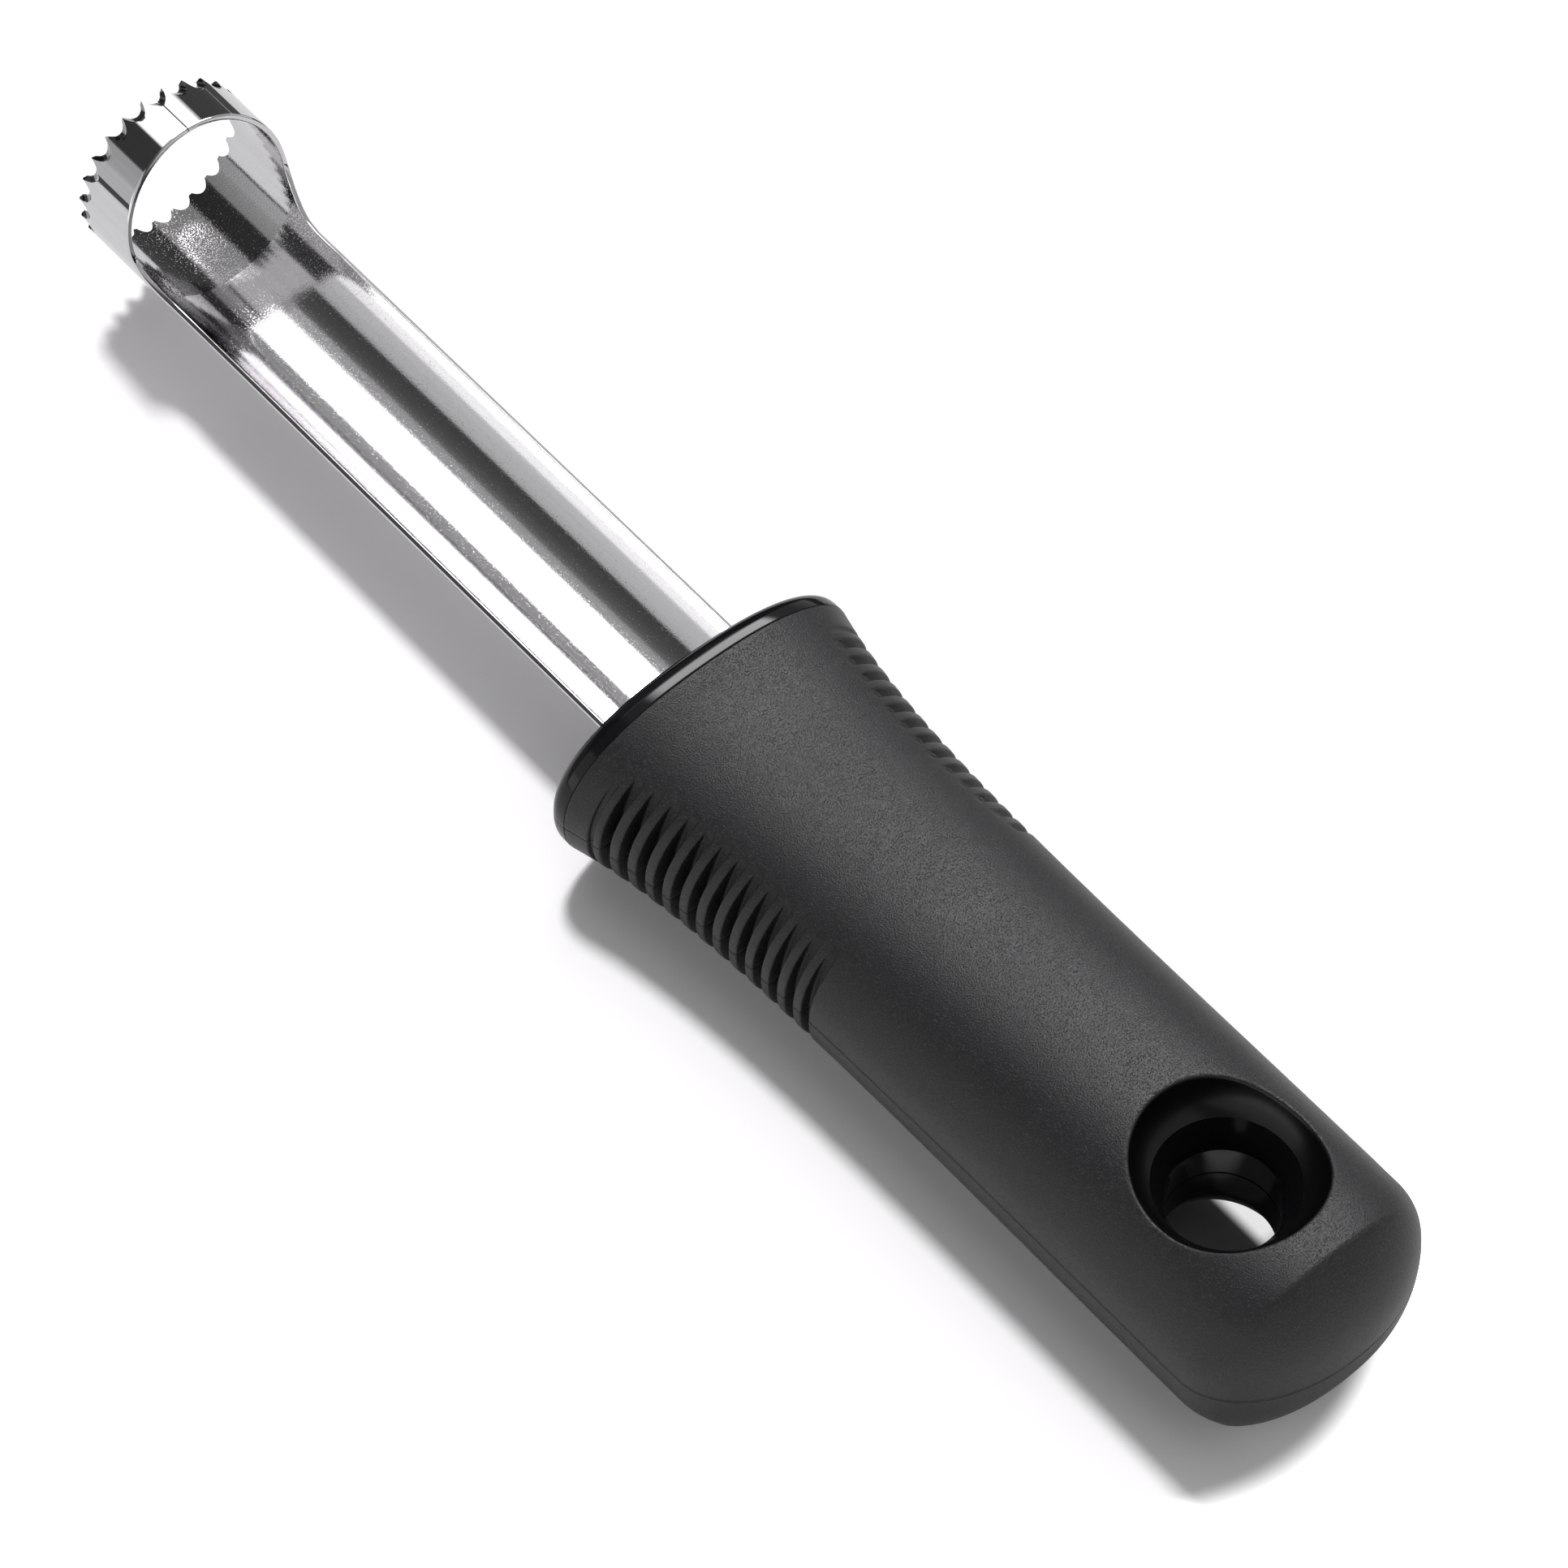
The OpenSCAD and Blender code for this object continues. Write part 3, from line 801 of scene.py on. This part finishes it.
def steel_material():
    """Polished steel: clean outside, finely grained inside, dark in its seam, with painted shade on
    its ground teeth.
    """
    mat, tree, shader, coords = new_material("polished_steel")
    axis = add(tree, "ShaderNodeSeparateXYZ", {0: coords})
    x, y, z = axis.outputs["X"], axis.outputs["Y"], axis.outputs["Z"]
    rise = math_node(tree, "SUBTRACT", z, BLADE_Z * MM)
    square = math_node(tree, "MULTIPLY_ADD", rise, rise, product(tree, y, y))
    radius = math_node(tree, "SQRT", square)
    inside = math_node(tree, "LESS_THAN", radius, INSIDE_UNDER * MM)
    streak = noise(tree, coords, STREAK_SCALE, 3.0, 0.6, STREAK_STRETCH)
    speck = noise(tree, coords, SPECK_SCALE, 2.0, 0.6)

    # Painted shade on the ground faces of the teeth
    under = between(tree, radius, GROUND_UNDER * MM, GROUND_FULL * MM)
    front = between(tree, x, GROUND_FROM * MM, GROUND_ALL * MM)
    ground = product(tree, under, front, math_node(tree, "SUBTRACT", 1.0, inside))
    top = math_node(tree, "GREATER_THAN", rise, SEAM_ABOVE * MM)
    seam = product(tree, offset_from(tree, y, 0.0, SEAM_SHADE_HALF), top)
    tone = blend(tree, ground, ramp(tree, streak, STEEL_TONES), GROUND_PAINTED_SHADE)
    tree.links.new(blend(tree, seam, tone, SEAM_BLACK), shader.inputs["Base Color"])
    shader.inputs["Metallic"].default_value = 1.0

    rough = math_node(tree, "MULTIPLY_ADD", streak, STREAK_ROUGH, LEAST_ROUGH)
    rough = math_node(tree, "MULTIPLY_ADD", inside, INSIDE_ROUGH, rough)
    spark = product(tree, excess(tree, speck, SPARK_FROM), inside)
    rough = math_node(tree, "MULTIPLY_ADD", spark, SPARK_ROUGH, rough)
    tree.links.new(rough, shader.inputs["Roughness"])

    height = product(tree, speck, SPECK_HEIGHT * MM, inside)
    height = math_node(tree, "MULTIPLY_ADD", streak, STREAK_HEIGHT * MM, height)
    patch = product(tree, window(tree, x, *PIT_X), window(tree, y, *PIT_Y))
    pit = product(tree, excess(tree, speck, PIT_FROM), patch, inside)
    height = math_node(tree, "MULTIPLY_ADD", pit, PIT_HEIGHT * MM, height)
    past = product(tree, excess(tree, x, HONE_X * MM), inside)
    height = math_node(tree, "MULTIPLY_ADD", past, -HONE_SLOPE, height)
    bump = add(tree, "ShaderNodeBump", {"Height": height, "Strength": 1.0, "Distance": 1.0})
    tree.links.new(bump.outputs[0], shader.inputs["Normal"])
    return mat


# Floor: it leans to touch the handle's flare and rear, and bends up under the ring

FLOOR_HALF = 1500.0
FLOOR_RISE = 1.005
FLOOR_LEAN = 0.012
BEND_RISE = 2.0
BEND_FROM = 68.0
BEND_LEN = 20.0
CUTS = (60, 100, 41)

PAPER_GRAIN = 400
PAPER = [(0.3, 0.84), (0.7, 0.85)]
PAPER_SEEN = (1.1, 1.0835, 1.1, 1)
DIM_PAPER = (0.08, 0.08, 0.08, 1)
DIM_SIDE = (-90.0, -100.0)
DIM_FRONT = (170.0, 210.0)

# Painted shadow on the floor seen through the hanging hole, a painted light spot in it, and painted
# light where the rear's shadow ends
HOLE_SEEN_X = (-76.5, -74.5, -64.0, -62.5)
HOLE_SEEN_Y = (-10.8, -10.0, -1.5, 0.0)
HOLE_SHADE = 0.7
SPOT_X = -69.7
SPOT_FULL = 2.8
SPOT_END = 6.2
SPOT_Y = (-11.4, -9.8, -8.2, -6.6)
SPOT_LIGHT = 0.75
REAR_FROM = 91.2
REAR_FULL = 95.2
REAR_MIDDLE = 6.0
REAR_CURVE = 22.0


def floor_light(tree, x, y):
    """Painted light that the camera alone sees on the floor: a spot in the hole, and all past the
    rear, where it ends the rear's shadow.
    """
    off = math_node(tree, "ABSOLUTE", math_node(tree, "SUBTRACT", x, SPOT_X * MM))
    near = between(tree, off, SPOT_END * MM, SPOT_FULL * MM)
    spot = product(tree, window(tree, y, *SPOT_Y), near)
    side = math_node(tree, "SUBTRACT", y, REAR_MIDDLE * MM)
    behind = product(tree, x, -1.0)
    back = math_node(tree, "MULTIPLY_ADD", product(tree, side, side), REAR_CURVE, behind)
    rear = between(tree, back, REAR_FROM * MM, REAR_FULL * MM)
    return math_node(tree, "MAXIMUM", product(tree, spot, SPOT_LIGHT), rear)


def floor_material():
    """Pale paper: white to the camera where lit, dim in the steel far from the tool, with a painted
    shadow and a painted light spot in the hanging hole and painted light past the rear.
    """
    mat, tree, _, coords = new_material("floor_white")
    axis = add(tree, "ShaderNodeSeparateXYZ", {0: coords})
    x, y = axis.outputs["X"], axis.outputs["Y"]
    path = add(tree, "ShaderNodeLightPath")
    seen, glossy = path.outputs["Is Camera Ray"], path.outputs["Is Glossy Ray"]
    beside = between(tree, y, DIM_SIDE[0] * MM, DIM_SIDE[1] * MM)
    ahead = between(tree, x, DIM_FRONT[0] * MM, DIM_FRONT[1] * MM)
    far = product(tree, glossy, math_node(tree, "MAXIMUM", beside, ahead))
    paper = ramp(tree, noise(tree, coords, PAPER_GRAIN), PAPER)
    paper = blend(tree, far, paper, DIM_PAPER)
    paper = blend(tree, seen, paper, PAPER_SEEN)
    # Painted shadow on the floor seen through the hanging hole
    hole = product(tree, window(tree, x, *HOLE_SEEN_X), window(tree, y, *HOLE_SEEN_Y))
    keep = math_node(tree, "MULTIPLY_ADD", hole, -HOLE_SHADE, 1.0)
    shaded = add(tree, "ShaderNodeVectorMath", {0: paper, 1: keep}, operation="MULTIPLY")
    diffuse = add(tree, "ShaderNodeBsdfDiffuse", {"Color": shaded.outputs[0]})
    # Painted light as a glow that only the camera sees
    lit = product(tree, floor_light(tree, x, y), seen)
    glow = add(tree, "ShaderNodeEmission", {"Strength": lit})
    both = add(tree, "ShaderNodeAddShader", {0: diffuse.outputs[0], 1: glow.outputs[0]})
    tree.links.new(both.outputs[0], tree.nodes["Material Output"].inputs["Surface"])
    return mat


def make_floor():
    """The floor's sheet, finely cut along x where it bends."""
    mesh = bpy.data.meshes.new("floor")
    half = FLOOR_HALF * MM
    along = np.concatenate([[-half], np.linspace(*CUTS) * MM, [half]])
    bend = ease((along / MM - BEND_FROM) / BEND_LEN)
    height = FLOOR_RISE * MM + FLOOR_LEAN * along + BEND_RISE * MM * bend
    rows = []
    for side in (-half, half):
        rows.append(np.stack([along, np.full(len(along), side), height], axis=-1))
    points, quads = sheet(np.array(rows))
    mesh.from_pydata(points.tolist(), [], quads.reshape(-1, 4)[:, ::-1].tolist())
    mesh.shade_smooth()
    mesh.materials.append(floor_material())
    obj = bpy.data.objects.new("floor", mesh)
    bpy.context.scene.collection.objects.link(obj)


# Light: a tent in bands, as (angle about the X axis in degrees, level)

NEAR_BANDS = [
    (0, 1.4), (16, 1.35), (18, 0.74), (40, 0.62), (46, 0.55), (48, 0.07), (62, 0.09),
    (72, 0.13), (77, 0.2), (80, 0.42), (93, 0.5), (141, 0.45), (160, 0.4), (170, 0.7), (180, 0.8),
]
FAR_BANDS = [
    (0, 0.62), (18, 0.6), (20, 0.5), (41, 0.42), (43, 0.05), (77, 0.05), (80, 0.42), (131, 0.42),
    (135, 0.06), (180, 0.08),
]
BANDS_CHANGE = (0.518, 0.534)
FRONT_DIMS = (0.56, 0.62)
FRONT_DIM = 0.6

# Each softbox: its lower and upper angle with their softness, then its start in x with its
# softness and its end in x
SOFTBOXES = [
    (95.5, 5.0, 141.0, 3.0, 0.2, 0.05, 0.5212),
    (78.5, 2.5, 135.0, 4.0, 0.5375, 0.0015, 0.556),
]
SOFTBOX_STOP = 0.0012
SOFTBOX_LIGHT = 1.7
SOFTBOX_SHOWN = 15.0
SOFTBOX_END = 2.4
SHOWN_FADE = (0.5, 0.44)

KEY_SHARE = 0.58
KEY_TOWARD = (0.394, -0.211, 1.0)
KEY_ANGLE = math.radians(8)


def softbox_mask(tree, x, degrees):
    """1 where a direction meets one of the softboxes."""
    boxes = []
    for low, low_soft, high, high_soft, start, start_soft, stop in SOFTBOXES:
        above = between(tree, degrees, low - low_soft, low + low_soft)
        below = between(tree, degrees, high + high_soft, high - high_soft)
        along = between(tree, x, start - start_soft, start + start_soft)
        end = between(tree, x, stop + SOFTBOX_STOP, stop - SOFTBOX_STOP)
        boxes.append(product(tree, above, below, along, end))
    return math_node(tree, "ADD", *boxes)


def make_world():
    """The tent by angle about the X axis, with two softboxes over the tool."""
    world = bpy.data.worlds.new("tent")
    bpy.context.scene.world = world
    world.use_nodes = True
    tree = world.node_tree
    toward = add(tree, "ShaderNodeTexCoord").outputs["Generated"]
    axis = add(tree, "ShaderNodeSeparateXYZ", {0: toward})
    x = axis.outputs["X"]
    turn = math_node(tree, "ARCTAN2", axis.outputs["Z"], axis.outputs["Y"])
    share = math_node(tree, "DIVIDE", turn, math.pi, clamp=True)
    near = ramp(tree, share, [(angle / 180, level) for angle, level in NEAR_BANDS])
    far = ramp(tree, share, [(angle / 180, level) for angle, level in FAR_BANDS])
    tent = blend(tree, between(tree, x, *BANDS_CHANGE), near, far)
    strength = math_node(tree, "MULTIPLY_ADD", between(tree, x, *FRONT_DIMS), -FRONT_DIM, 1.0)

    box = softbox_mask(tree, x, math_node(tree, "MULTIPLY", turn, 180 / math.pi))
    path = add(tree, "ShaderNodeLightPath")
    first = math_node(tree, "LESS_THAN", path.outputs["Diffuse Depth"], 0.5)
    shown = product(tree, path.outputs["Is Glossy Ray"], first)
    fade = between(tree, x, *SHOWN_FADE)
    glare = math_node(tree, "MULTIPLY_ADD", fade, SOFTBOX_SHOWN - SOFTBOX_END, SOFTBOX_END)
    extra = math_node(tree, "SUBTRACT", glare, SOFTBOX_LIGHT)
    level = math_node(tree, "MULTIPLY_ADD", shown, extra, SOFTBOX_LIGHT)

    dim = add(tree, "ShaderNodeBackground", {"Color": tent, "Strength": strength})
    bright = add(tree, "ShaderNodeBackground", {"Strength": product(tree, box, level)})
    both = add(tree, "ShaderNodeAddShader", {0: dim.outputs[0], 1: bright.outputs[0]})
    tree.links.new(both.outputs[0], tree.nodes["World Output"].inputs["Surface"])


def make_key():
    """The key light, high over the blade's far side."""
    lamp = bpy.data.lights.new("key", "SUN")
    lamp.angle = KEY_ANGLE
    z = np.array(KEY_TOWARD) / np.linalg.norm(KEY_TOWARD)
    lamp.energy = KEY_SHARE * math.pi / float(z[2])
    obj = bpy.data.objects.new("key", lamp)
    x = np.cross((0, 1, 0), z)
    x /= np.linalg.norm(x)
    y = np.cross(z, x)
    obj.matrix_world = Matrix(np.stack([x, y, z], axis=1).tolist()).to_4x4()
    obj.visible_glossy = False
    bpy.context.scene.collection.objects.link(obj)


# Camera: fitted to the photograph

LENS = 141.34
SENSOR = 36
CAMERA_AT = (-0.266357, 0.235135, 0.526877)
CAMERA_RIGHT = (-0.65409, -0.75617, 0.01913)
CAMERA_UP = (0.63222, -0.53264, 0.56266)
CAMERA_BACK = (-0.41528, 0.38013, 0.82646)


def make_camera():
    """The photograph's camera."""
    data = bpy.data.cameras.new("camera")
    data.lens = LENS
    data.sensor_width = SENSOR
    data.clip_start = 0.01
    data.clip_end = 10
    obj = bpy.data.objects.new("camera", data)
    axes = np.array([CAMERA_RIGHT, CAMERA_UP, CAMERA_BACK])
    turn = Matrix(axes.T.tolist()).to_4x4()
    turn.translation = CAMERA_AT
    obj.matrix_world = turn
    bpy.context.scene.collection.objects.link(obj)
    bpy.context.scene.camera = obj


# Scene

steel = steel_material()
core = core_material()
rubber = grip_material()

blade = make_blade(steel)
collar = make_collar(core)
eyelet = make_eyelet(core)
grip = make_grip(rubber)

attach(blade, "root")
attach(collar, "root")
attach(eyelet, "root")
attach(grip, "root")
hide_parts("blade")
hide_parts("handle_core")
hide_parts("handle_core")
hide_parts("soft_grip")

make_floor()
make_world()
make_key()
make_camera()
bpy.context.scene.view_settings.view_transform = "Standard"
